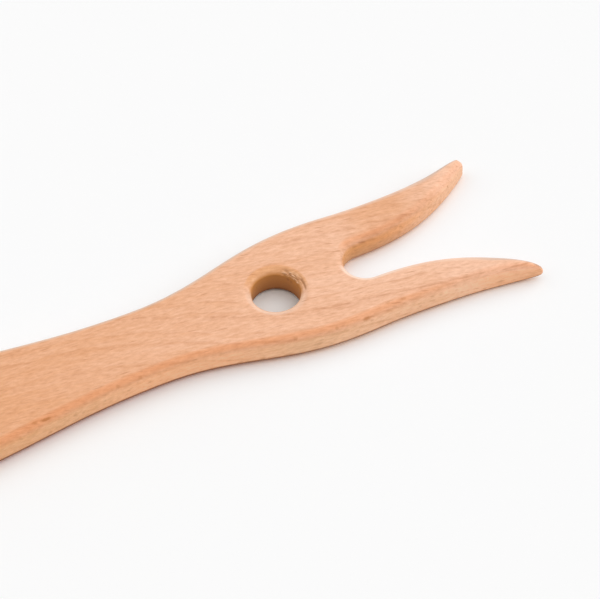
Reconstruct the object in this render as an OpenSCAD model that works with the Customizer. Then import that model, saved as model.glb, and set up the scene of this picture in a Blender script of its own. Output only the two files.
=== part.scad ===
// Two-horned wooden fork for braiding cord, cut from one flat board.
// Millimetres, +X towards the horns, +Z up. The underside lies on z = 0, and the origin is below the
// middle of the overall length.

/* [Board] */
// Overall length, from the butt of the handle to the tips of the horns
overall_len = 200; // [170:1:260]
// Thickness of the board
board_t = 7; // [5:0.5:12]
// Radius of the round-over along all edges, except on the horns
edge_r = 2; // [1:0.1:2.4]

/* [Eye] */
// Diameter of the eye drilled through the head
eye_d = 12; // [6:0.5:16]
// Width of the worn lip round the upper end of the eye
eye_lip_w = 2; // [0.5:0.1:2.6]
// Depth of that lip
eye_lip_h = 1.4; // [0.5:0.1:2]
// Width and depth of the eased edge at the lower end of the eye
eye_edge = 0.5; // [0.1:0.1:1]
// Distance from the middle of the eye to the tips
eye_to_tips = 63.2; // [58:0.2:75]

/* [Head] */
// Widest place of the head, just ahead of the eye
head_w = 35.2; // [32:0.2:44]
// How far that place lies ahead of the middle of the eye
head_ahead = 12.6; // [9:0.2:16]

/* [Horns] */
// Depth of the gap between the horns, from the tips to its root
gap_depth = 44.4; // [36:0.2:46]
// Width of the gap at its root
gap_w = 10.8; // [6:0.2:12]
// Width across both horns where their outer edges draw in
neck_w = 34; // [31:0.2:42]
// How far behind the tips the outer edges draw in
neck_behind_tips = 33.6; // [26:0.2:36]
// Width across both tips, if both were as far out as the -Y tip
tips_w = 39.4; // [37:0.2:48]
// Radius of the -Y horn's tip, seen from above
tip_r = 0.5; // [0.5:0.1:2]
// Radius of the +Y horn's blunter tip, seen from above
blunt_tip_r = 1.2; // [0.8:0.1:2.4]
// How far the blunter tip stops short of the other
blunt_tip_short = 2.7; // [0:0.1:4]
// How much farther from the middle the blunter tip lies
blunt_tip_out = 0.5; // [0:0.1:2]
// Angle at which the outer edge runs into the tip
tip_outer_angle = 11; // [3:1:14]
// Angle at which the inner edge runs into the tip
tip_inner_angle = 37; // [32:1:44]
// Radius of the upper round-over at the tips, to which it grows along the horns
horn_edge_r = 3.2; // [2:0.1:3.4]
// Radius of the lower round-over at the tips, to which it falls along the horns
horn_under_r = 1; // [0.5:0.1:2]
// Length over which the -Y horn thins to a nose
nose_len = 14.5; // [6:0.5:18]
// Thickness left at the end of that nose
nose_t = 2.4; // [0.6:0.1:3.5]
// How far the underside rises at the end of that nose
nose_lift = 1.3; // [0:0.1:2]
// Length over which the blunter horn thins
blunt_nose_len = 5; // [2:0.2:14]
// Thickness left at the end of the blunter horn
blunt_nose_t = 4.6; // [1:0.1:5]
// How far the underside rises at the end of the blunter horn
blunt_nose_lift = 0.4; // [0:0.1:1]

/* [Waist] */
// Narrowest place, between the head and the handle
waist_w = 20.9; // [16:0.1:28]
// How far the waist lies behind the middle of the eye
waist_behind_eye = 34; // [28:0.5:42]

/* [Handle] */
// Widest place of the handle
handle_w = 32; // [24:0.5:44]
// Length of the rounded butt behind that place
butt_len = 34; // [14:1:44]

/* [Hidden] */

// How far a curve holds its direction at each end, as a share of its run
curve_hold = 0.41;
// Steps along each kind of outline curve, round each arc and over each edge
curve_steps = 16;
arc_steps = 10;
edge_steps = 4;
// Most of a tip's half width and half thickness that its round-over takes up, as a share
nose_share = 0.9;
// How far a cutter reaches past the faces
reach = 1;
// Facets round the eye
eye_fn = 96;
// How far the curve of a lip turns out of the bore before it meets the face, and the steps in it
lip_turn = 50;
lip_steps = 8;

// Stations along the length
tips_x = overall_len / 2;
butt_x = -overall_len / 2;
eye_x = tips_x - eye_to_tips;
wide_x = butt_x + butt_len;
waist_x = eye_x - waist_behind_eye;
head_x = eye_x + head_ahead;
neck_x = tips_x - neck_behind_tips;
root_r = gap_w / 2;
root_x = tips_x - gap_depth + root_r;
blunt_tip = [tips_x - blunt_tip_short - blunt_tip_r, tips_w / 2 + blunt_tip_out - blunt_tip_r];
tip = [tips_x - tip_r, tips_w / 2 - tip_r];

along = [1, 0];
function heading(a) = [cos(a), sin(a)];
function on_arc(c, r, a) = c + r * heading(a);

// Cubic curve from p to q, with unit headings u and v at its ends; the end point is left to the next piece
function curve(p, u, q, v) =
    let (pull = curve_hold * abs(q.x - p.x))
    let (b = p + pull * u, c = q - pull * v)
    [for (i = [0 : curve_steps - 1])
        let (t = i / curve_steps, s = 1 - t)
        s * s * s * p + 3 * s * s * t * b + 3 * s * t * t * c + t * t * t * q];

function arc(c, r, a0, a1) =
    [for (i = [0 : arc_steps - 1]) on_arc(c, r, a0 + (a1 - a0) * i / arc_steps)];

// Edge of the +Y half, from the butt round a tip with centre c and radius r to the root of the gap
function half_edge(c, r) =
    let (wide = [wide_x, handle_w / 2], waist = [waist_x, waist_w / 2])
    let (head = [head_x, head_w / 2], neck = [neck_x, neck_w / 2])
    let (root = [root_x, 0], root_in = [root_x, root_r])
    let (outer_a = 90 + tip_outer_angle, inner_a = tip_inner_angle - 90)
    let (tip_in = on_arc(c, r, outer_a), tip_out = on_arc(c, r, inner_a))
    concat(
        [for (i = [0 : curve_steps - 1])
            let (a = 90 * i / curve_steps)
            [wide_x - butt_len * cos(a), handle_w / 2 * sin(a)]],
        curve(wide, along, waist, along),
        curve(waist, along, head, along),
        curve(head, along, neck, along),
        curve(neck, along, tip_in, heading(tip_outer_angle)),
        arc(c, r, outer_a, inner_a),
        curve(tip_out, -heading(tip_inner_angle), root_in, -along),
        arc(root, root_r, 90, 180),
        [[root_x - root_r, 0]]);

// Whole edge: the +Y half out to the root, then the other half walked back to the butt
blunt_half = half_edge(blunt_tip, blunt_tip_r);
sharp_half = half_edge(tip, tip_r);
last = len(sharp_half) - 1;
edge = concat(blunt_half, [for (i = [last - 1 : -1 : 1]) [sharp_half[i].x, -sharp_half[i].y]]);
count = len(edge);

function unit(v) = v / norm(v);
// Direction into the wood at each point of the edge
inward = [for (i = [0 : count - 1])
    let (before = edge[(i + count - 1) % count], after = edge[(i + 1) % count])
    let (run = unit(unit(edge[i] - before) + unit(after - edge[i])))
    [run.y, -run.x]];

// Tip centre and radius of the horn on a point's side, then the length, end thickness and lift of its nose
function horn(p) = p.y > 0
    ? [blunt_tip, blunt_tip_r, blunt_nose_len, blunt_nose_t, blunt_nose_lift]
    : [tip, tip_r, nose_len, nose_t, nose_lift];
// How far each point lies behind the end of its tip, along the heading of the horn there
behind = [for (p = edge)
    let (h = horn(p))
    h[1] + (h[0] - [p.x, abs(p.y)]) * heading((tip_outer_angle + tip_inner_angle) / 2)];
// How close a point is to the end of a run that ends at the tip: 1 at the tip, 0 behind the run
function close_to_tip(i, run) = 1 - min(1, max(0, behind[i] / run));
// Heights of the underside and the top at each point, which close in along ellipses in the nose
span = [for (i = [0 : count - 1])
    let (h = horn(edge[i]), n = close_to_tip(i, h[2]), closed = 1 - sqrt(1 - n * n))
    [h[4] * closed, board_t - (board_t - h[3] - h[4]) * closed]];
// Radius wanted for a round-over, changing smoothly from the root of the gap to a radius r at the tips
function over_r(i, r) =
    let (n = close_to_tip(i, gap_depth))
    edge_r + (r - edge_r) * n * n * (3 - 2 * n);
// Most width and height that a round-over takes, where a narrow tip leaves less than that radius
most_w = [for (i = [0 : count - 1])
    let (r = horn(edge[i])[1])
    let (half_w = r + max(0, behind[i] - r) * tan((tip_inner_angle - tip_outer_angle) / 2))
    nose_share * half_w];
most_h = [for (s = span) nose_share * (s[1] - s[0]) / 2];

// Angles over the edge, from the underside up to the top face
angles = concat(
    [for (i = [0 : edge_steps]) -90 + 90 * i / edge_steps],
    [for (i = [0 : edge_steps]) 90 * i / edge_steps]);
rings = len(angles);

function over_edge(i, k) =
    let (a = angles[k], low = k <= edge_steps, r = over_r(i, low ? horn_under_r : horn_edge_r))
    let (w = min(r, most_w[i]), h = min(r, most_h[i]))
    let (p = edge[i] + w * (1 - cos(a)) * inward[i])
    [p.x, p.y, (low ? span[i][0] + h : span[i][1] - h) + h * sin(a)];

// Two triangles between the sides a-b and d-c, or one where the sides meet
function quad(a, b, c, d) = [if (a != d) [a, b, d], if (b != c) [b, c, d]];

// Face inside the first or last ring: across the handle and head, then along each horn from its two edges
curves_to_tip = 5;
tip_i = curves_to_tip * curve_steps + arc_steps / 2;
fork_i = 2 * tip_i - last;
function flip(i) = (count - i) % count;
function facing(i) = 2 * tip_i - i;
face = concat(
    [for (i = [0 : fork_i - 1]) each quad(i, i + 1, flip(i + 1), flip(i))],
    [[fork_i, last, flip(fork_i)]],
    [for (i = [fork_i : tip_i - 1]) each quad(i, i + 1, facing(i + 1), facing(i))],
    [for (i = [fork_i : tip_i - 1])
        each quad(flip(facing(i)), flip(facing(i + 1)), flip(i + 1), flip(i))]);

// Solid board with rounded edges
module board() {
    skin = [for (k = [0 : rings - 1], i = [0 : count - 1]) over_edge(i, k)];
    walls = [for (k = [0 : rings - 2], i = [0 : count - 1])
        let (j = (i + 1) % count, low = k * count, high = low + count)
        each quad(low + i, low + j, high + j, high + i)];
    underside = [for (f = face) [f[2], f[1], f[0]]];
    top = [for (f = face) [for (i = f) (rings - 1) * count + i]];
    polyhedron(points = skin, faces = concat(walls, underside, top));
}

// Cutter for the eye, with a flared end at each face that leaves a rounded lip
module eye_cut() {
    translate([0, 0, -reach]) cylinder(d = eye_d, h = board_t + 2 * reach, $fn = eye_fn);
    translate([0, 0, board_t]) lip_cut(eye_lip_w, eye_lip_h);
    mirror([0, 0, 1]) lip_cut(eye_edge, eye_edge);
}

// Plug that cuts a lip of width w and depth h, with the face of the board at z = 0
module lip_cut(w, h) {
    bore_r = eye_d / 2;
    flare = [for (i = [0 : lip_steps])
        let (a = lip_turn * i / lip_steps)
        let (out = (1 - cos(a)) / (1 - cos(lip_turn)), up = sin(a) / sin(lip_turn))
        [bore_r + w * out, h * (up - 1)]];
    rotate_extrude($fn = eye_fn)
    polygon(concat([[0, reach], [0, -h]], flare, [[bore_r + w, reach]]));
}

// The whole fork
module fork_body() {
    color("#EFBC9C")
    difference() {
        board();
        translate([eye_x, 0, 0]) eye_cut();
    }
}

fork_body();
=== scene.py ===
import math
import bmesh
import bpy
from mathutils import Matrix, Vector


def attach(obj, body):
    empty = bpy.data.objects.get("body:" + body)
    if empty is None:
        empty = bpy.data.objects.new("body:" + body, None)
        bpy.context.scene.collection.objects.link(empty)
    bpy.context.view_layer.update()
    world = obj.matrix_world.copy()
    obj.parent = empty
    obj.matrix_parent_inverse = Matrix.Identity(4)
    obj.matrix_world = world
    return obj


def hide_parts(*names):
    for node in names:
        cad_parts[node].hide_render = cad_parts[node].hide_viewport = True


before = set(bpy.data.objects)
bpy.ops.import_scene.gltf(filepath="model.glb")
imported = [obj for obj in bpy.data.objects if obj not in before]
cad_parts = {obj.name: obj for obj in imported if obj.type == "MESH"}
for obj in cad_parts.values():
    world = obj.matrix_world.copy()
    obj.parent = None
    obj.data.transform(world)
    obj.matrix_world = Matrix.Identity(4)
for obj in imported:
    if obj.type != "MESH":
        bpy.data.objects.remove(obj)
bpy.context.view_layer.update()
scene = bpy.context.scene
scene.view_settings.view_transform = "Standard"
mm = 0.001
perMetre = 1000.0  # millimetres
quarter = math.pi / 2
print("frame in:", ", ".join(sorted(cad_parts)))


# wiring helpers, good for geometry and shader trees alike
def plug(tree, socket, value):
    if isinstance(value, bpy.types.NodeSocket):
        tree.links.new(value, socket)
    else:
        socket.default_value = value


def addNode(tree, kind, wires=None, **settings):
    node = tree.nodes.new(kind)
    for key, value in settings.items():
        setattr(node, key, value)
    for socket, value in (wires or {}).items():
        plug(tree, node.inputs[socket], value)
    return node


def output(tree, kind, wires=None, **settings):  # the first output of a new node
    return addNode(tree, kind, wires, **settings).outputs[0]


def calc(tree, operation, *values):
    node = addNode(tree, "ShaderNodeMath", operation=operation)
    for socket, value in zip(node.inputs, values):
        plug(tree, socket, value)
    return node.outputs[0]


def plus(tree, total, *others):
    for other in others:
        total = calc(tree, "ADD", total, other)
    return total


def minus(tree, first, second):
    return calc(tree, "SUBTRACT", first, second)


def times(tree, total, *others):
    for other in others:
        total = calc(tree, "MULTIPLY", total, other)
    return total


def over(tree, first, second):
    return calc(tree, "DIVIDE", first, second)


def calcVector(tree, operation, *values):
    node = addNode(tree, "ShaderNodeVectorMath", operation=operation)
    for socket, value in zip(node.inputs, values):
        plug(tree, socket, value)
    return node.outputs["Value"] if operation == "LENGTH" else node.outputs["Vector"]


def scaled(tree, vector, factor):
    return output(tree, "ShaderNodeVectorMath", {"Vector": vector, "Scale": factor}, operation="SCALE")


def parts(tree, vector):
    return addNode(tree, "ShaderNodeSeparateXYZ", {0: vector}).outputs


def between(tree, value, fromMin, fromMax, toMin=0.0, toMax=1.0, smooth=False):
    wires = {"Value": value, "From Min": fromMin, "From Max": fromMax, "To Min": toMin, "To Max": toMax}
    return output(tree, "ShaderNodeMapRange", wires, interpolation_type="SMOOTHSTEP" if smooth else "LINEAR")


def noise(tree, vector, detail=2.0, roughness=0.5):
    return output(tree, "ShaderNodeTexNoise",
                  {"Vector": vector, "Scale": 1.0, "Detail": detail, "Roughness": roughness})


def mixed(tree, share, first, second, kind="MIX"):  # 6, 7 and 2 are a Mix node's colour sockets
    wires = {"Factor": share, 6: first, 7: second}
    return addNode(tree, "ShaderNodeMix", wires, data_type="RGBA", blend_type=kind).outputs[2]


def sockets(tree, way, kinds):
    for name, kind in kinds.items():
        tree.interface.new_socket(name, in_out=way, socket_type=kind)


def sizeSockets(tree, values):  # inputs that start from the values given
    kinds = {int: "NodeSocketInt", float: "NodeSocketFloat", tuple: "NodeSocketColor"}
    for name, value in values.items():
        socket = tree.interface.new_socket(name, in_out="INPUT", socket_type=kinds[type(value)])
        socket.default_value = value


def tint(red, green, blue):  # screen colour, 0 to 255, to the linear one that sockets take
    line = [c / 255 / 12.92 if c <= 10 else ((c / 255 + 0.055) / 1.055) ** 2.4 for c in (red, green, blue)]
    return (*line, 1.0)


# the board's outline from above, in millimetres, walked from the butt round both horns
boardSizes = {
    "length": 200.0, "thickness": 7.0, "edgeRadius": 2.0,
    "tipEdgeRadius": 3.2, "tipUnderRadius": 1.0,  # the round-over changes to these along the horns
    "eyeToTips": 63.2,
    "headWidth": 35.2, "headAheadOfEye": 12.6,
    "gapDepth": 44.4, "gapWidth": 10.8,
    "neckWidth": 34.0, "neckBehindTips": 33.6,
    "tipsWidth": 39.4, "tipOuterAngle": 11.0, "tipInnerAngle": 37.0,
    "sharpTip": {"radius": 0.5, "short": 0.0, "outset": 0.0,
                 "noseLength": 14.5, "noseThickness": 2.4, "noseLift": 1.3, "endRound": 1.4},
    "bluntTip": {"radius": 1.2, "short": 2.7, "outset": 0.5,
                 "noseLength": 5.0, "noseThickness": 4.6, "noseLift": 0.4, "endRound": 0.2},
    "endRun": 8.0,  # how far behind a tip its rounded end begins
    "noseShare": 0.9,  # share of a tip that its round-over may take
    "leadWidth": 1.2, "leadShare": 0.3,  # strip of the face inside the round-over, and its share of a tip
    "waistWidth": 20.9, "waistBehindEye": 34.0,
    "handleWidth": 32.0, "buttLength": 34.0,
    "curveHold": 0.41, "curveSteps": 64, "arcSteps": 30,
}
eyeSizes = {
    "diameter": 12.0, "lipWidth": 2.0, "lipDepth": 1.4, "nearLipRise": 0.6,  # worn less on the near side
    "underEdgeWidth": 2.0, "underEdgeHeight": 0.8, "leadWidth": 0.3, "lipTurn": 50.0, "steps": 480,
    "torn": (-8.0, 10.0, 44.0, 58.0), "cracked": (-24.0, -16.0, 6.0, 12.0),  # degrees round from +X
    "tuftPitch": 0.8, "tuftTurn": 6.0,  # torn tufts for each millimetre round the lip and each radian over it
    "tuftLevel": 0.58, "tornPit": (0.56, 0.38), "tornPeak": (0.52, 0.66),  # of the tufts' noise, 0 to 1
    "crackTurn": 1.2, "crackHalfTurn": 0.2,  # where the crack lies on the lip's round, in radians
}
tipsX = boardSizes["length"] / 2
eyeX = tipsX - boardSizes["eyeToTips"]
gapRootX = tipsX - boardSizes["gapDepth"] + boardSizes["gapWidth"] / 2  # centre of the gap's round end


def heading(degrees):
    return Vector((math.cos(math.radians(degrees)), math.sin(math.radians(degrees))))


def curveRun(start, startWay, end, endWay):
    steps, pull = boardSizes["curveSteps"], boardSizes["curveHold"] * abs(end.x - start.x)
    pullA, pullB = start + pull * startWay, end - pull * endWay
    run = []
    for i in range(steps):
        t = i / steps
        s = 1 - t
        run.append(s ** 3 * start + 3 * s * s * t * pullA + 3 * s * t * t * pullB + t ** 3 * end)
    return run


def arcRun(centre, radius, fromAngle, toAngle):
    steps = boardSizes["arcSteps"]
    return [centre + radius * heading(fromAngle + (toAngle - fromAngle) * i / steps) for i in range(steps)]


def tipCentre(tip):
    halfSpan = boardSizes["tipsWidth"] / 2 + tip["outset"]
    return Vector((tipsX - tip["short"] - tip["radius"], halfSpan - tip["radius"]))


def halfEdge(tip):
    b = boardSizes
    along, centre, radius = Vector((1, 0)), tipCentre(tip), tip["radius"]
    wide = Vector((b["buttLength"] - b["length"] / 2, b["handleWidth"] / 2))
    waist = Vector((eyeX - b["waistBehindEye"], b["waistWidth"] / 2))
    head = Vector((eyeX + b["headAheadOfEye"], b["headWidth"] / 2))
    neck = Vector((tipsX - b["neckBehindTips"], b["neckWidth"] / 2))
    root, rootRadius = Vector((gapRootX, 0)), b["gapWidth"] / 2
    outerAngle, innerAngle = 90 + b["tipOuterAngle"], b["tipInnerAngle"] - 90
    tipIn, tipOut = centre + radius * heading(outerAngle), centre + radius * heading(innerAngle)
    butt = []
    for i in range(b["curveSteps"]):
        turn = heading(90 * i / b["curveSteps"])
        butt.append(Vector((wide.x - b["buttLength"] * turn.x, wide.y * turn.y)))
    return (butt + curveRun(wide, along, waist, along) + curveRun(waist, along, head, along)
            + curveRun(head, along, neck, along) + curveRun(neck, along, tipIn, heading(b["tipOuterAngle"]))
            + arcRun(centre, radius, outerAngle, innerAngle)
            + curveRun(tipOut, -heading(b["tipInnerAngle"]), root + Vector((0, rootRadius)), -along)
            + arcRun(root, rootRadius, 90, 180) + [root - Vector((rootRadius, 0))])


def edgePoints():
    far, near = halfEdge(boardSizes["bluntTip"]), halfEdge(boardSizes["sharpTip"])
    return far + [Vector((p.x, -p.y)) for p in near[-2:0:-1]]


# what the sweep needs at a point of the outline: how far the round-over draws a tip back, the heights of both
# faces, the lead, and how far each round-over runs in, and down or up
def roundAt(point):
    b = boardSizes
    tip = b["bluntTip"] if point.y > 0 else b["sharpTip"]
    lean = heading((b["tipOuterAngle"] + b["tipInnerAngle"]) / 2)
    behind = tip["radius"] + (tipCentre(tip) - Vector((point.x, abs(point.y)))).dot(lean)
    fall = 1 - min(1, max(0, behind / tip["noseLength"]))
    closed = 1 - math.sqrt(1 - fall * fall)
    under = tip["noseLift"] * closed
    top = b["thickness"] - (b["thickness"] - tip["noseThickness"] - tip["noseLift"]) * closed
    out = 1 - min(1, max(0, behind / b["gapDepth"]))  # 0 at the gap's root, 1 at the tip
    spread = math.tan(math.radians((b["tipInnerAngle"] - b["tipOuterAngle"]) / 2))
    halfWidth = tip["radius"] + max(0, behind - tip["radius"]) * spread

    def roundOver(tipRadius):
        radius = b["edgeRadius"] + (tipRadius - b["edgeRadius"]) * out * out * (3 - 2 * out)
        return min(radius, b["noseShare"] * halfWidth), min(radius, b["noseShare"] * (top - under) / 2)

    topWidth, topHeight = roundOver(b["tipEdgeRadius"])
    underWidth, underHeight = roundOver(b["tipUnderRadius"])
    drawn = tip["endRound"] * max(0, 1 - behind / b["endRun"]) ** 2
    return {"drawnBack": Vector((lean.x, math.copysign(lean.y, point.y))) * -drawn,
            "underLevel": under, "topLevel": top,
            "leadWidth": min(b["leadWidth"], b["leadShare"] * (halfWidth - topWidth)),
            "topWidth": topWidth, "topHeight": topHeight,
            "underWidth": underWidth, "underHeight": underHeight}


# 1 along a stretch of the eye's lip, fading out at both ends
def spell(degrees, start, fullFrom, fullTo, end):
    turn = (degrees + 180) % 360 - 180
    return max(0.0, min(1.0, (turn - start) / (fullFrom - start), (end - turn) / (end - fullTo)))


def outlineRows():
    outline = edgePoints()
    rows = []
    for i, point in enumerate(outline):
        before, after = outline[i - 1], outline[(i + 1) % len(outline)]
        way = ((point - before).normalized() + (after - point).normalized()).normalized()
        rows.append({"spot": point, "intoWood": Vector((way.y, -way.x)), **roundAt(point),
                     "turnLimit": quarter, "bore": 0.0, "torn": 0.0, "cracked": 0.0})
    return rows


def eyeRows():
    e = eyeSizes
    rows = []
    for i in range(e["steps"]):
        degrees = 360 * i / e["steps"]
        way = heading(degrees)
        lipDepth = e["lipDepth"] - e["nearLipRise"] * max(0, -way.y)
        rows.append({"spot": Vector((eyeX, 0)) + e["diameter"] / 2 * way, "intoWood": way,
                     "drawnBack": Vector((0, 0)), "underLevel": 0.0, "topLevel": boardSizes["thickness"],
                     "leadWidth": e["leadWidth"], "topWidth": e["lipWidth"], "topHeight": lipDepth,
                     "underWidth": e["underEdgeWidth"], "underHeight": e["underEdgeHeight"],
                     "turnLimit": math.radians(e["lipTurn"]), "bore": 1.0,
                     "torn": spell(degrees, *e["torn"]), "cracked": spell(degrees, *e["cracked"])})
    return rows


# both edges as loops of bare wire, with each point's row kept as attributes
def edgeLoops():
    rows, wires = [], []
    for loop in (outlineRows(), eyeRows()):
        first, count = len(rows), len(loop)
        rows += loop
        wires += [(first + i, first + (i + 1) % count) for i in range(count)]
    mesh = bpy.data.meshes.new("edgeLoops")
    mesh.from_pydata([(row["spot"].x * mm, row["spot"].y * mm, 0) for row in rows], wires, [])
    plain = ("intoWood", "turnLimit", "bore", "torn", "cracked")  # the others are lengths
    for name in [key for key in rows[0] if key != "spot"]:
        unit = 1 if name in plain else mm
        if name in ("intoWood", "drawnBack"):
            values = [c for row in rows for c in (row[name].x * unit, row[name].y * unit, 0.0)]
            mesh.attributes.new(name, "FLOAT_VECTOR", "POINT").data.foreach_set("vector", values)
        else:
            values = [row[name] * unit for row in rows]
            mesh.attributes.new(name, "FLOAT", "POINT").data.foreach_set("value", values)
    return mesh


def read(tree, name, kind="FLOAT"):
    node = addNode(tree, "GeometryNodeInputNamedAttribute", {"Name": name}, data_type=kind)
    return node.outputs["Attribute"]


def store(tree, geometry, name, value, kind="FLOAT"):
    wires = {"Geometry": geometry, "Name": name, "Value": value}
    return output(tree, "GeometryNodeStoreNamedAttribute", wires, data_type=kind, domain="POINT")


def moved(tree, geometry, **way):  # way is Position or Offset
    return output(tree, "GeometryNodeSetPosition", {"Geometry": geometry, **way})


# profile: a chain of ring numbers, from the lead inside the underside up to the lead inside the top
def sweptLoops(tree, edges, ringCount):
    chain = output(tree, "GeometryNodeMeshLine", {"Count": ringCount, "Offset": (0, 0, mm)})
    chain = store(tree, chain, "ring", output(tree, "GeometryNodeInputIndex"))
    profile = output(tree, "GeometryNodeMeshToCurve", {"Mesh": chain})
    loops = output(tree, "GeometryNodeMeshToCurve", {"Mesh": edges})
    loops = store(tree, loops, "edgeSpot", output(tree, "GeometryNodeInputPosition"), "FLOAT_VECTOR")
    return output(tree, "GeometryNodeCurveToMesh", {"Curve": loops, "Profile Curve": profile})


# each ring's turn over the edge, -90 to 90 degrees with the straight wall between the two middle rings
def ringTurn(tree, ring, steps):
    low = between(tree, over(tree, minus(tree, ring, 1.0), steps), 0, 1, -1, 0)
    high = between(tree, over(tree, minus(tree, minus(tree, ring, steps), 2.0), steps), 0, 1)
    return times(tree, plus(tree, low, high), quarter)


# where a ring's points go, and how far inside the edge that is
def ringPlace(tree, ring, steps, turn):
    middle = minus(tree, minus(tree, ring, steps), 1.5)
    side = calc(tree, "SIGN", middle)
    lead = calc(tree, "GREATER_THAN", calc(tree, "ABSOLUTE", middle), plus(tree, steps, 1.0))
    limit = read(tree, "turnLimit")  # a lip that stops short of a quarter turn meets the face at a crease
    bend = times(tree, turn, over(tree, limit, quarter))
    width = between(tree, side, -1, 1, read(tree, "underWidth"), read(tree, "topWidth"))
    depth = between(tree, side, -1, 1, read(tree, "underHeight"), read(tree, "topHeight"))
    inward = over(tree, minus(tree, 1.0, calc(tree, "COSINE", bend)),
                  minus(tree, 1.0, calc(tree, "COSINE", limit)))
    inset = calc(tree, "MULTIPLY_ADD", width, inward, times(tree, lead, read(tree, "leadWidth")))
    rise = times(tree, depth, over(tree, calc(tree, "SINE", bend), calc(tree, "SINE", limit)))
    wallFoot = plus(tree, read(tree, "underLevel"), read(tree, "underHeight"))
    wallTop = minus(tree, read(tree, "topLevel"), read(tree, "topHeight"))
    height = plus(tree, rise, between(tree, side, -1, 1, wallFoot, wallTop))
    place = calcVector(tree, "ADD", scaled(tree, read(tree, "intoWood", "FLOAT_VECTOR"), inset),
                       scaled(tree, read(tree, "drawnBack", "FLOAT_VECTOR"), inward))
    place = calcVector(tree, "ADD", read(tree, "edgeSpot", "FLOAT_VECTOR"), place)
    return calcVector(tree, "ADD", place, output(tree, "ShaderNodeCombineXYZ", {"Z": height})), inset


# slow waves left by hand sanding, then the torn end grain and the crack on the eye's lip
def wornSkin(tree, given, skin, turn, flat, upright):
    e = eyeSizes
    backward = times(tree, flat, -1.0)
    outward = calcVector(tree, "ADD", scaled(tree, read(tree, "intoWood", "FLOAT_VECTOR"), backward),
                         output(tree, "ShaderNodeCombineXYZ", {"Z": upright}))
    here = output(tree, "GeometryNodeInputPosition")
    wave = noise(tree, scaled(tree, here, over(tree, 1.0, given["Sanding Length"])), detail=1.0)
    sanding = times(tree, wave, given["Sanding Depth"], backward)
    ragged = calcVector(
        tree, "ADD", scaled(tree, read(tree, "edgeSpot", "FLOAT_VECTOR"), e["tuftPitch"] * perMetre),
        output(tree, "ShaderNodeCombineXYZ", {"Z": times(tree, turn, e["tuftTurn"])}))
    tuft = output(tree, "ShaderNodeTexNoise", {"Vector": ragged, "W": given["Tear Seed"], "Scale": 1.0,
                                               "Detail": 3.0, "Roughness": 0.6}, noise_dimensions="4D")
    upper = calc(tree, "SINE", times(tree, calc(tree, "MAXIMUM", turn, 0.0), 2.0))
    torn = times(tree, read(tree, "torn"), calc(tree, "MAXIMUM", 0.0, upper))
    tear = times(tree, minus(tree, tuft, e["tuftLevel"]), given["Tear Depth"], torn)
    off = calc(tree, "ABSOLUTE", over(tree, minus(tree, turn, e["crackTurn"]), e["crackHalfTurn"]))
    crack = times(tree, calc(tree, "MAXIMUM", 0.0, minus(tree, 1.0, off)), read(tree, "cracked"))
    tear = minus(tree, tear, times(tree, crack, given["Crack Depth"]))
    skin = moved(tree, skin, Offset=scaled(tree, outward, plus(tree, sanding, tear)))
    skin = store(tree, skin, "pitted", times(tree, torn, between(tree, tuft, *e["tornPit"])))
    skin = store(tree, skin, "raised", times(tree, torn, between(tree, tuft, *e["tornPeak"])))
    return store(tree, skin, "crack", crack)


# a face filled in flat inside its innermost ring, then lifted back to the ring's own height
def filledFace(tree, skin, ring, number):
    here = output(tree, "GeometryNodeInputPosition")
    onRing = output(tree, "FunctionNodeCompare", {"A": ring, "B": number, "Epsilon": 0.1}, operation="EQUAL")
    rim = output(tree, "GeometryNodeSeparateGeometry", {"Geometry": skin, "Selection": onRing},
                 domain="POINT")
    plan = moved(tree, rim, Position=calcVector(tree, "MULTIPLY", here, (1.0, 1.0, 0.0)))
    border = output(tree, "GeometryNodeMeshToCurve", {"Mesh": plan})
    face = output(tree, "GeometryNodeFillCurve", {"Curve": border}, mode="TRIANGLES")
    nearest = output(tree, "GeometryNodeSampleNearest", {"Geometry": plan, "Sample Position": here})
    onRim = output(tree, "GeometryNodeSampleIndex", {"Geometry": rim, "Value": here, "Index": nearest},
                   data_type="FLOAT_VECTOR")
    return moved(tree, face, Position=onRim)


sweepSizes = {
    "Round Steps": 20,
    "Sanding Depth": 0.08 * mm, "Sanding Length": 20.0 * mm,
    "Tear Depth": 0.7 * mm, "Tear Seed": 4.0, "Crack Depth": 0.12 * mm,
    "Weld Reach": 0.002 * mm,  # points closer than this become one
}


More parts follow.
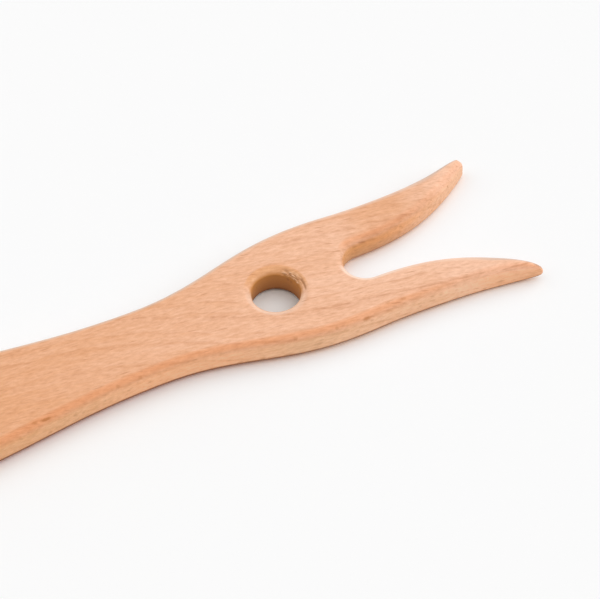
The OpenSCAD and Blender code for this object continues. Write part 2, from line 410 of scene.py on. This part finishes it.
# the board: a round-over swept along both loops, then a face filled in on each side
def boardTree():
    tree = bpy.data.node_groups.new("roundedBoard", "GeometryNodeTree")
    sockets(tree, "INPUT", {"Edge Loops": "NodeSocketGeometry"})
    sizeSockets(tree, sweepSizes)
    sockets(tree, "INPUT", {"Finish": "NodeSocketMaterial"})
    sockets(tree, "OUTPUT", {"Board": "NodeSocketGeometry"})
    given, result = addNode(tree, "NodeGroupInput").outputs, addNode(tree, "NodeGroupOutput")
    steps, ring = given["Round Steps"], read(tree, "ring")
    ringCount = calc(tree, "MULTIPLY_ADD", steps, 2.0, 4.0)  # a lead and steps + 1 rings on each side
    turn = ringTurn(tree, ring, steps)
    flat, upright = calc(tree, "COSINE", turn), calc(tree, "SINE", turn)
    place, inset = ringPlace(tree, ring, steps, turn)
    skin = moved(tree, sweptLoops(tree, given["Edge Loops"], ringCount), Position=place)

    # notes for the finish: wall is 1 on upright wood, under is 1 on the underside and -1 on top,
    # facing is 1 on walls that look to the near side, and half so on the eye's right
    lean = parts(tree, read(tree, "intoWood", "FLOAT_VECTOR"))
    facing = calc(tree, "MULTIPLY_ADD", times(tree, lean["X"], read(tree, "bore")), 0.5, lean["Y"])
    endGrain = between(tree, calc(tree, "ABSOLUTE", lean["X"]), 0.45, 1.0)
    for name, value in (("wall", flat), ("inset", inset), ("under", times(tree, upright, -1.0)),
                        ("facing", facing), ("endGrain", endGrain)):
        skin = store(tree, skin, name, value)

    skin = wornSkin(tree, given, skin, turn, flat, upright)
    underside = filledFace(tree, skin, ring, 0.0)
    topSide = filledFace(tree, skin, ring, minus(tree, ringCount, 1.0))
    whole = addNode(tree, "GeometryNodeJoinGeometry")
    for piece in (topSide, underside, skin):
        tree.links.new(piece, whole.inputs[0])
    board = output(tree, "GeometryNodeMergeByDistance",
                   {"Geometry": whole.outputs[0], "Distance": given["Weld Reach"]})
    board = output(tree, "GeometryNodeSetShadeSmooth", {"Geometry": board, "Shade Smooth": True})
    board = output(tree, "GeometryNodeRealizeInstances", {"Geometry": board})
    board = output(tree, "GeometryNodeSetMaterial", {"Geometry": board, "Material": given["Finish"]})
    tree.links.new(board, result.inputs[0])
    return tree


def bakeTree(name, mesh, tree, values):  # run a tree over a mesh and keep what comes out as a plain mesh
    carrier = bpy.data.objects.new(name + "Carrier", mesh)
    scene.collection.objects.link(carrier)
    modifier = carrier.modifiers.new(name, "NODES")
    modifier.node_group = tree
    keys = {item.name: item.identifier for item in tree.interface.items_tree if item.in_out == "INPUT"}
    for label, value in values.items():
        modifier[keys[label]] = value
    shot = bpy.context.evaluated_depsgraph_get()
    made = bpy.data.meshes.new_from_object(carrier.evaluated_get(shot), preserve_all_data_layers=True,
                                           depsgraph=shot)
    carrier.modifiers.remove(modifier)
    bpy.data.objects.remove(carrier)
    made.name = name
    return made


def turnOutward(mesh):  # all faces outward; returns how many edges are open
    shell = bmesh.new()
    shell.from_mesh(mesh)
    bmesh.ops.recalc_face_normals(shell, faces=shell.faces)
    shell.to_mesh(mesh)
    openEdges = sum(1 for edge in shell.edges if not edge.is_manifold)
    shell.free()
    return openEdges


# the figure in the wood, in millimetres
grainSizes = {
    # how often each figure changes, per millimetre along the fibre and across it
    "wander": (0.03, 0.06), "wobble": (0.09, 0.25), "slow": (0.02, 0.12), "streak": (0.2, 1.3),
    "broken": (0.14, 0.6), "ragged": (0.3, 0.9), "shade": (0.5, 1.6),
    "wanderReach": 4.0, "wobbleReach": 3.5,
    "fibreSlope": 0.13, "fibreBow": 0.0005,  # how far the fibres run off the board's length
    "ringLean": 1.2, "ringDrift": 0.18, "waistFrom": -15.0, "waistTo": 45.0, "waistDrift": 12.0,
    "ringWander": 0.5, "boldWobble": 0.3,  # shares of the fibres' wander and of the wobble that rings follow
    # years that stand out across the waist and under the eye, on the handle and along the far horn
    "boldYears": ((18.4, 0.85), (17.2, 0.3), (9.3, 0.5), (2.4, 0.5), (41.7, 0.55)),
    "boldFrom": 0.05, "boldTo": 0.75,
    "deepX": -55.0, "paleX": 58.0, "deepTone": 0.79, "paleTone": 0.1,  # the colour deepens towards the handle
    # deeper wood at the root of the far horn, paler along the near one and at the far tip
    "patches": (((70.0, 12.0, 5.0), 12.0, 0.45), ((87.0, -13.0, 6.0), 16.0, -0.45),
                ((94.0, 16.0, 7.0), 12.0, -0.35)),
    "patchCore": 4.0, "slowTone": 0.35,
    "fleck": (7.0, 0.8, 2.4), "pore": (3.4, 0.5, 1.2), "poreShare": 0.6,  # spacing along, across and through
    "darkFibre": (0.85, 0.77, 0.69), "paleFibre": (1.15, 1.23, 1.31),  # dark fibres are redder than pale ones
    "streakHeight": 0.5, "streakDull": 0.2, "fleckDull": 0.3,
}
grainInputs = {
    "Pale": tint(246, 195, 163), "Deep": tint(229, 166, 121), "Fleck": tint(184, 116, 74),
    "Ring Spacing": 3.3, "Ring Strength": 0.14, "Fleck Strength": 0.54, "Fibre Strength": 0.8,
}


# beech: growth rings as leaning sheets, ray flecks, pores and fine fibre
def grainGroup():
    g = grainSizes
    tree = bpy.data.node_groups.new("beechGrain", "ShaderNodeTree")
    sizeSockets(tree, grainInputs)
    sockets(tree, "OUTPUT", {"Color": "NodeSocketColor"})
    sockets(tree, "OUTPUT", {"Height": "NodeSocketFloat", "Dull": "NodeSocketFloat"})
    given, result = addNode(tree, "NodeGroupInput").outputs, addNode(tree, "NodeGroupOutput")
    spot = scaled(tree, addNode(tree, "ShaderNodeTexCoord").outputs["Object"], perMetre)
    at = parts(tree, spot)

    def figure(vector, name, detail=2.0, roughness=0.5):
        along, across = g[name]
        return noise(tree, calcVector(tree, "MULTIPLY", vector, (along, across, across)), detail, roughness)

    # fibres wander a little off the board's length
    wander = times(tree, minus(tree, figure(spot, "wander"), 0.5), g["wanderReach"])
    bow = times(tree, at["X"], calc(tree, "MULTIPLY_ADD", at["X"], g["fibreBow"], g["fibreSlope"]))
    across = plus(tree, at["Y"], bow, wander)
    fibre = output(tree, "ShaderNodeCombineXYZ", {"X": at["X"], "Y": across, "Z": at["Z"]})

    # rings: sheets that lean over and drift across the board, most of all behind the eye
    behindEye = between(tree, at["X"], g["waistFrom"], g["waistTo"], 0.0, g["waistDrift"], True)
    drift = calc(tree, "MULTIPLY_ADD", at["X"], g["ringDrift"], behindEye)
    reach = plus(tree, calc(tree, "MULTIPLY_ADD", at["Z"], g["ringLean"], at["Y"]), drift)
    wobble = times(tree, minus(tree, figure(fibre, "wobble"), 0.5), g["wobbleReach"])
    sheet = calc(tree, "MULTIPLY_ADD", wobble, g["boldWobble"], reach)
    reach = plus(tree, calc(tree, "MULTIPLY_ADD", wander, g["ringWander"], reach), wobble)
    year = over(tree, reach, given["Ring Spacing"])
    season = calc(tree, "FRACT", year)
    vigour = output(tree, "ShaderNodeTexWhiteNoise", {"W": calc(tree, "FLOOR", year)}, noise_dimensions="1D")
    rings = times(tree, between(tree, season, 0.25, 0.9, smooth=True),
                  between(tree, season, 0.9, 1.0, 1.0, 0.0),
                  between(tree, vigour, 0, 1, 0.3, 1.0), given["Ring Strength"])

    # broken dark lines where a year ends, and longer ones at the years that stand out
    ringEnd = times(tree, between(tree, season, 0.72, 0.92), between(tree, season, 0.92, 1.0, 1.0, 0.0),
                    between(tree, figure(fibre, "broken"), 0.42, 0.62),
                    between(tree, vigour, 0.3, 1.0, 0.05, 0.6))
    ragged = between(tree, figure(fibre, "ragged", 4.0, 0.65), 0.4, 0.62)
    for level, strength in g["boldYears"]:
        off = calc(tree, "ABSOLUTE", minus(tree, sheet, level))
        line = times(tree, between(tree, off, g["boldFrom"], g["boldTo"], strength, 0.0), ragged)
        ringEnd = calc(tree, "MAXIMUM", ringEnd, line)

    # tone: 0 is pale wood, 1 deep
    slow = between(tree, figure(fibre, "slow", 3.0), 0.3, 0.7)
    streak = figure(fibre, "streak", 5.0, 0.72)
    handle = between(tree, at["X"], g["deepX"], g["paleX"], g["deepTone"], g["paleTone"], True)
    tone = plus(tree, calc(tree, "MULTIPLY_ADD", slow, g["slowTone"], handle), rings)
    for centre, reachOut, deeper in g["patches"]:
        away = calcVector(tree, "LENGTH", calcVector(tree, "SUBTRACT", spot, centre))
        tone = plus(tree, tone, between(tree, away, g["patchCore"], reachOut, deeper, 0.0, True))
    tone = plus(tree, tone, times(tree, minus(tree, streak, 0.5), given["Fibre Strength"]))

    # ray flecks: short dark dashes along the fibre, and finer pores between them
    def dashes(spacing, near, far):
        stretched = calcVector(tree, "MULTIPLY", fibre, [1 / gap for gap in spacing])
        cell = addNode(tree, "ShaderNodeTexVoronoi", {"Vector": stretched, "Scale": 1.0}).outputs
        dash = between(tree, cell["Distance"], near, far, 1.0, 0.0, True)
        return times(tree, dash, between(tree, parts(tree, cell["Color"])["X"], 0.25, 1.0))

    pores = times(tree, dashes(g["pore"], 0.1, 0.36), g["poreShare"])
    flecks = calc(tree, "MAXIMUM", dashes(g["fleck"], 0.08, 0.26), pores)
    flecks = times(tree, calc(tree, "MAXIMUM", flecks, ringEnd), given["Fleck Strength"])

    wood = mixed(tree, tone, given["Pale"], given["Deep"])
    wood = mixed(tree, flecks, wood, given["Fleck"])
    shade = between(tree, figure(fibre, "shade", 4.0, 0.7), 0.2, 0.8)
    fibres = mixed(tree, shade, (*g["darkFibre"], 1.0), (*g["paleFibre"], 1.0))
    tree.links.new(calcVector(tree, "MULTIPLY", wood, fibres), result.inputs["Color"])
    tree.links.new(minus(tree, times(tree, streak, g["streakHeight"]), flecks), result.inputs["Height"])
    dull = calc(tree, "MULTIPLY_ADD", flecks, g["fleckDull"], times(tree, streak, g["streakDull"]))
    tree.links.new(dull, result.inputs["Dull"])
    return tree


beech = {
    # screen colours
    "edge": (252, 232, 212), "lip": (250, 239, 213), "endGrain": (240, 228, 214), "underShade": (150, 125, 101),
    "boreWood": (214, 143, 72), "boreShade": (178, 112, 54), "boreFootShade": (96, 54, 26),
    "pitAndShade": (168, 110, 66), "splinter": (248, 208, 172), "pin": (186, 116, 58),
    "sheen": (255, 226, 206), "farSheen": (224, 200, 182), "hornSheen": (240, 208, 188),
    "tipSheen": (205, 182, 168),
    "bounce": (204, 210, 218), "footBounce": (255, 186, 124), "boreBounce": (160, 108, 20),
    # factors on the colour beneath
    # the walls' factors below are painted light, and painted shade low in the gap and at its root
    "handleSideLight": (1.08, 1.15, 1.08), "waistSideLight": (1.22, 1.24, 1.18), "hornSideLight": (1.15, 1.22, 1.21),
    "tipSideLight": (1.1, 1.02, 0.87), "tipCrownLight": (1.1, 1.1, 1.12),
    "gapRootShade": (0.88, 0.82, 0.58), "gapSideLight": (1.08, 1.07, 0.98),
    "gapFootShade": (0.84, 0.86, 0.93), "gapBrowLight": (1.12, 1.03, 0.86),
    "handleBounce": (0.62, 0.3, 0.06), "plain": (1.0, 1.0, 1.0),
    # stretches along the board, in millimetres from its middle: from none to full
    "pastWaistStart": (-20.0, -5.0), "beforeWaistEnd": (36.0, 20.0), "pastHandle": (0.0, 40.0),
    "pastHead": (40.0, 55.0), "pastNeck": (79.0, 87.0), "overCrown": (82.0, 89.0), "overTip": (80.0, 90.0),
    "gapSideRun": (gapRootX, gapRootX + 17), "gapShadeRun": (gapRootX + 10, gapRootX + 24),
    "glintDulls": (64.0, 76.0), "sheenTurns": (30.0, 62.0), "edgeRun": (58.0, 88.0),
    # and across it, and up
    "pastGap": (-4.0, 0.0), "pastOuter": (2.0, 8.0),
    "gapHeight": (1.5, 4.5), "boreShadeDrop": (5.0, 1.0), "footShadeDrop": (1.4, 0.4), "bounceHeight": (0.5, 4.0),
    "edgeStrip": (1.8 * mm, 0.2 * mm), "edgeEnd": 2.4 * mm,  # how far in the deeper edge runs
    "underShadeTop": (0.16, 0.32),  # where the painted shade is at its full, on the lower round-over: handle, horns
    "pinRagged": 0.6, "pinPitch": 1.2, "pinAcross": 1.7, "pinThrough": 1.2,
    "roughness": 0.42, "specular": 0.35, "bumpDepth": 0.06 * mm,
    # pin knots and stains along the near edge and in the eye: place and length in millimetres, then how dark
    "pins": (((-30.0, -11.9, 6.8), 2.2, 0.9), ((-33.0, -11.8, 6.9), 1.2, 0.6),
             ((-4.2, -9.9, 6.5), 0.8, 0.3), ((-10.3, -10.0, 6.6), 0.7, 0.35),
             ((34.6, -15.3, 6.6), 0.8, 0.4), ((45.0, -16.7, 6.5), 0.7, 0.35),
             ((53.0, -17.0, 6.3), 1.4, 0.65), ((59.5, -15.2, 7.0), 0.9, 0.3),
             ((63.6, -15.6, 6.9), 1.2, 0.35), ((41.7, 3.5, 5.1), 0.9, 0.6), ((42.1, 2.7, 4.7), 0.8, 0.6)),
}


def beechTint(key):
    return tint(*beech[key])


def beechFactor(key):
    return (*beech[key], 1.0)


def stretch(tree, at, key):  # 0 to 1 over a stretch of the board's length
    return between(tree, at["X"], *beech[key])


# the near side's upper edge and the eye's lip are a little deeper where they round over
def edgeColour(tree, colour, at):
    strip = between(tree, at["X"], *beech["edgeRun"], *beech["edgeStrip"])  # narrows along the horns
    square = between(tree, at["facing"], between(tree, at["bore"], 0.0, 1.0, 0.7, 0.1),
                     between(tree, at["bore"], 0.0, 1.0, 0.95, 0.5))
    rounded = times(tree, between(tree, at["inset"], strip, beech["edgeEnd"], 1.0, 0.0),
                    between(tree, at["wall"], 0.5, 1.0, 1.0, 0.2), square)
    edge = mixed(tree, at["bore"], beechTint("edge"), beechTint("lip"))
    return mixed(tree, rounded, colour, edge, "MULTIPLY")


# painted light on the upright sides, each stretch with its own factor, and painted shade in the gap; then
# painted light on the tips' round-over, and the end grain
def paintedSideLight(tree, colour, at):
    # painted light: each stretch of wall is brighter by its own factor
    waist = times(tree, stretch(tree, at, "pastWaistStart"), stretch(tree, at, "beforeWaistEnd"))
    side = mixed(tree, waist, beechFactor("handleSideLight"), beechFactor("waistSideLight"))
    side = mixed(tree, stretch(tree, at, "pastHead"), side, beechFactor("hornSideLight"))
    side = mixed(tree, stretch(tree, at, "pastNeck"), side, beechFactor("tipSideLight"))
    # painted shade on the gap's wall, darkest at its root and foot; painted light further out and higher up
    gap = mixed(tree, stretch(tree, at, "gapSideRun"), beechFactor("gapRootShade"), beechFactor("gapSideLight"))
    level = between(tree, at["Z"], *beech["gapHeight"])
    gapShade = mixed(tree, level, beechFactor("gapFootShade"), beechFactor("gapBrowLight"))
    gapShade = mixed(tree, stretch(tree, at, "gapShadeRun"), gapShade, beechFactor("plain"))
    inGap = times(tree, between(tree, at["Y"], *beech["pastGap"]), at["near"])
    side = mixed(tree, inGap, side, calcVector(tree, "MULTIPLY", gap, gapShade))
    upright = times(tree, between(tree, at["wall"], 0.8, 1.0), at["solid"])
    colour = mixed(tree, upright, colour, calcVector(tree, "MULTIPLY", colour, side))
    # painted light on the near upper round-over over the tips
    crownLight = times(tree, between(tree, at["under"], -0.1, -0.4), between(tree, at["wall"], 0.1, 0.4),
                  at["near"], stretch(tree, at, "overCrown"))
    colour = mixed(tree, crownLight, colour, calcVector(tree, "MULTIPLY", colour, beech["tipCrownLight"]))
    ends = times(tree, at["endGrain"], at["solid"], between(tree, at["wall"], 0.6, 1.0))
    return mixed(tree, ends, colour, beechTint("endGrain"), "MULTIPLY")


def boreWoodAndShade(tree, colour, at):  # drilled wood inside the eye, with painted shade that deepens it downwards, darkest at its foot
    deepShade, footShade = between(tree, at["Z"], *beech["boreShadeDrop"]), between(tree, at["Z"], *beech["footShadeDrop"])
    inside = mixed(tree, deepShade, beechTint("boreWood"), beechTint("boreShade"))
    inside = mixed(tree, footShade, inside, beechTint("boreFootShade"))
    return mixed(tree, times(tree, at["bore"], between(tree, at["wall"], 0.55, 1.0)), colour, inside)


def underShadeColour(tree, colour, at):  # painted shade on the lower round-over, less of it in the gap and on the far side
    underShadeTop = between(tree, at["X"], *beech["pastHandle"], *beech["underShadeTop"])
    underShaded = times(tree, between(tree, at["under"], 0.015, underShadeTop),
                   between(tree, at["under"], 0.8, 1.0, 1.0, 0.0),
                   between(tree, at["Y"], *beech["pastGap"], 1.0, 0.45))
    return mixed(tree, underShaded, colour, beechTint("underShade"), "MULTIPLY")


def markColour(tree, colour, at, spot):  # the torn lip of the eye, then the pin knots
    # the pits and the crack are darker partly as torn wood and partly as painted shade
    for name, key in (("raised", "splinter"), ("pitted", "pitAndShade"), ("crack", "pitAndShade")):
        colour = mixed(tree, at[name], colour, beechTint(key))
    wires = {"Vector": spot, "Scale": beech["pinPitch"], "Detail": 2.0}
    ragged = addNode(tree, "ShaderNodeTexNoise", wires).outputs["Color"]
    ragged = scaled(tree, calcVector(tree, "SUBTRACT", ragged, (0.5, 0.5, 0.5)), beech["pinRagged"])
    ragged = calcVector(tree, "ADD", spot, ragged)
    for knot, length, darkness in beech["pins"]:
        shape = (1 / length, beech["pinAcross"], beech["pinThrough"])
        off = calcVector(tree, "MULTIPLY", calcVector(tree, "SUBTRACT", ragged, knot), shape)
        mark = between(tree, calcVector(tree, "LENGTH", off), 0.3, 0.95, darkness, 0.0, True)
        colour = mixed(tree, mark, colour, beechTint("pin"))
    return colour


# painted sheen: the upper edges on the far side catch the light where they turn away
def glintColour(tree, colour, at):
    turned = addNode(tree, "ShaderNodeLayerWeight", {"Blend": 0.5}).outputs["Facing"]
    outer = between(tree, at["Y"], *beech["pastOuter"])
    atTip = stretch(tree, at, "overTip")
    inner = between(tree, at["X"], *beech["glintDulls"], 1.0, 0.45)  # duller along the near horn
    inner = calc(tree, "MULTIPLY_ADD", atTip, 0.4, inner)
    farSide = between(tree, at["near"], 0.0, 0.5, between(tree, at["bore"], 0.0, 1.0, 1.0, 0.55), 0.0)
    glint = times(tree, between(tree, turned, 0.24, between(tree, outer, 0.0, 1.0, 0.5, 0.72), 0.0, 0.8),
                  between(tree, at["under"], -0.05, -0.3), between(tree, at["wall"], 0.02, 0.25),
                  farSide, calc(tree, "MAXIMUM", outer, inner))
    sheen = mixed(tree, stretch(tree, at, "sheenTurns"), beechTint("farSheen"), beechTint("hornSheen"))
    sheen = mixed(tree, outer, beechTint("sheen"), sheen)
    sheen = mixed(tree, atTip, sheen, beechTint("tipSheen"))
    return mixed(tree, glint, colour, sheen)


# most light thrown back onto the table is near white, so only the shadow close to the edge turns warm
def thrownColour(tree, colour, at):
    thrown = addNode(tree, "ShaderNodeLightPath").outputs["Is Diffuse Ray"]
    level = between(tree, at["Z"], *beech["bounceHeight"])
    bounce = mixed(tree, level, beechTint("footBounce"), beechTint("bounce"))
    kept = calc(tree, "MAXIMUM", stretch(tree, at, "pastHandle"), minus(tree, 1.0, at["near"]))
    kept = mixed(tree, kept, beechFactor("handleBounce"), beechFactor("plain"))
    bounce = calcVector(tree, "MULTIPLY", bounce, kept)  # less from the handle's near side
    whitened = times(tree, thrown, at["solid"], between(tree, level, 0.0, 1.0, 0.85, 0.9))
    colour = mixed(tree, whitened, colour, bounce)
    return mixed(tree, times(tree, thrown, at["bore"], 0.9), colour, beechTint("boreBounce"))


def beechBoard():
    material = bpy.data.materials.new("beechBoard")
    material.use_nodes = True
    tree = material.node_tree
    shader = tree.nodes["Principled BSDF"]
    wood = addNode(tree, "ShaderNodeGroup", node_tree=grainGroup())
    for name, value in grainInputs.items():
        wood.inputs[name].default_value = value
    # at holds where a point is, in millimetres, and what the board's tree noted there
    spot = scaled(tree, addNode(tree, "ShaderNodeTexCoord").outputs["Object"], perMetre)
    at = dict(parts(tree, spot).items())
    for name in ("wall", "bore", "under", "facing", "inset", "endGrain", "raised", "pitted", "crack"):
        at[name] = addNode(tree, "ShaderNodeAttribute", attribute_name=name).outputs["Fac"]
    at["near"] = between(tree, at["facing"], -0.2, 0.5, smooth=True)  # walls that the camera sees
    at["solid"] = minus(tree, 1.0, at["bore"])  # all but the eye
    colour = wood.outputs["Color"]
    for step in (edgeColour, paintedSideLight, boreWoodAndShade, underShadeColour):
        colour = step(tree, colour, at)
    colour = markColour(tree, colour, at, spot)
    colour = thrownColour(tree, glintColour(tree, colour, at), at)
    bump = output(tree, "ShaderNodeBump", {"Height": wood.outputs["Height"], "Strength": 1.0,
                                           "Distance": beech["bumpDepth"]})
    plug(tree, shader.inputs["Base Color"], colour)
    plug(tree, shader.inputs["Roughness"], plus(tree, wood.outputs["Dull"], beech["roughness"]))
    plug(tree, shader.inputs["Normal"], bump)
    plug(tree, shader.inputs["Specular IOR Level"], beech["specular"])
    return material


forkMesh = bakeTree("beechFork", edgeLoops(), boardTree(), {**sweepSizes, "Finish": beechBoard()})
openEdges = turnOutward(forkMesh)
fork = bpy.data.objects.new("beechFork", forkMesh)
scene.collection.objects.link(fork)
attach(fork, "root")
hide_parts("fork_body")
print("fork:", len(forkMesh.vertices), "points,", len(forkMesh.polygons), "faces,", openEdges, "open edges")

# the table and the light, in metres and degrees
stageSizes = {
    "floorHalf": 4.0, "floorTint": (252, 252, 252), "floorRoughness": 0.9, "skyStrength": 0.465,
    "key": {"from": (0.642, -0.028, 0.766), "strength": 1.665, "spread": 80.0},
    "fill": {"from": (-0.578, 0.282, 0.766), "strength": 0.496, "spread": 55.0},
}


def paperFloor():
    half = stageSizes["floorHalf"]
    corners = [(-half, -half, 0), (half, -half, 0), (half, half, 0), (-half, half, 0)]
    mesh = bpy.data.meshes.new("paperFloor")
    mesh.from_pydata(corners, [], [(0, 1, 2, 3)])
    material = bpy.data.materials.new("whitePaper")
    material.use_nodes = True
    shader = material.node_tree.nodes["Principled BSDF"]
    shader.inputs["Base Color"].default_value = tint(*stageSizes["floorTint"])
    shader.inputs["Roughness"].default_value = stageSizes["floorRoughness"]
    shader.inputs["Specular IOR Level"].default_value = 0.0
    mesh.materials.append(material)
    floor = bpy.data.objects.new("paperFloor", mesh)
    scene.collection.objects.link(floor)


def softLight():
    world = bpy.data.worlds.new("studio")
    scene.world = world
    world.use_nodes = True
    tree = world.node_tree
    sky = tree.nodes["Background"].inputs
    path = addNode(tree, "ShaderNodeLightPath").outputs
    seen = calc(tree, "MAXIMUM", path["Is Camera Ray"], path["Is Glossy Ray"])
    plug(tree, sky["Color"], (1, 1, 1, 1))
    plug(tree, sky["Strength"], between(tree, seen, 0, 1, stageSizes["skyStrength"], 1.0))
    for name in ("key", "fill"):
        sizes = stageSizes[name]
        light = bpy.data.lights.new(name, "SUN")
        light.energy, light.angle = sizes["strength"], math.radians(sizes["spread"])
        lamp = bpy.data.objects.new(name, light)
        lamp.rotation_mode = "QUATERNION"
        lamp.rotation_quaternion = Vector(sizes["from"]).to_track_quat("Z", "Y")
        scene.collection.objects.link(lamp)


paperFloor()
softLight()
print("stage set")

# camera: its stand follows from the eye's place in the picture; perPixel is in millimetres
cameraSizes = {"turn": 26.0, "elevation": 49.88, "lens": 360.0, "sensor": 36.0, "perPixel": 0.243,
               "pictureWidth": 600, "pictureHeight": 599, "eyeColumn": 276.15, "eyeRow": 290.93,
               "clipStart": 0.05, "clipEnd": 20.0}


def placeCamera():
    c = cameraSizes
    turn, tilt = math.radians(c["turn"]), math.radians(c["elevation"])
    right = Vector((math.cos(turn), -math.sin(turn), 0))
    away = Vector((math.sin(turn), math.cos(turn), 0))
    up = Vector((0, 0, 1))
    ahead = math.cos(tilt) * away - math.sin(tilt) * up
    pictureUp = math.sin(tilt) * away + math.cos(tilt) * up
    focal = c["lens"] / c["sensor"] * c["pictureWidth"]  # in pixels
    eyeTop = Vector((eyeX, 0, boardSizes["thickness"]))
    sideStep = (c["eyeColumn"] - c["pictureWidth"] / 2) / focal
    downStep = (c["eyeRow"] - c["pictureHeight"] / 2) / focal
    stand = eyeTop - focal * c["perPixel"] * (ahead + sideStep * right - downStep * pictureUp)
    lens = bpy.data.cameras.new("camera")
    lens.lens, lens.sensor_width = c["lens"], c["sensor"]
    lens.clip_start, lens.clip_end = c["clipStart"], c["clipEnd"]
    camera = bpy.data.objects.new("camera", lens)
    turnTo = Matrix((right, pictureUp, -ahead)).transposed().to_4x4()
    camera.matrix_world = Matrix.Translation(stand * mm) @ turnTo
    scene.collection.objects.link(camera)
    scene.camera = camera


placeCamera()
print("camera set")
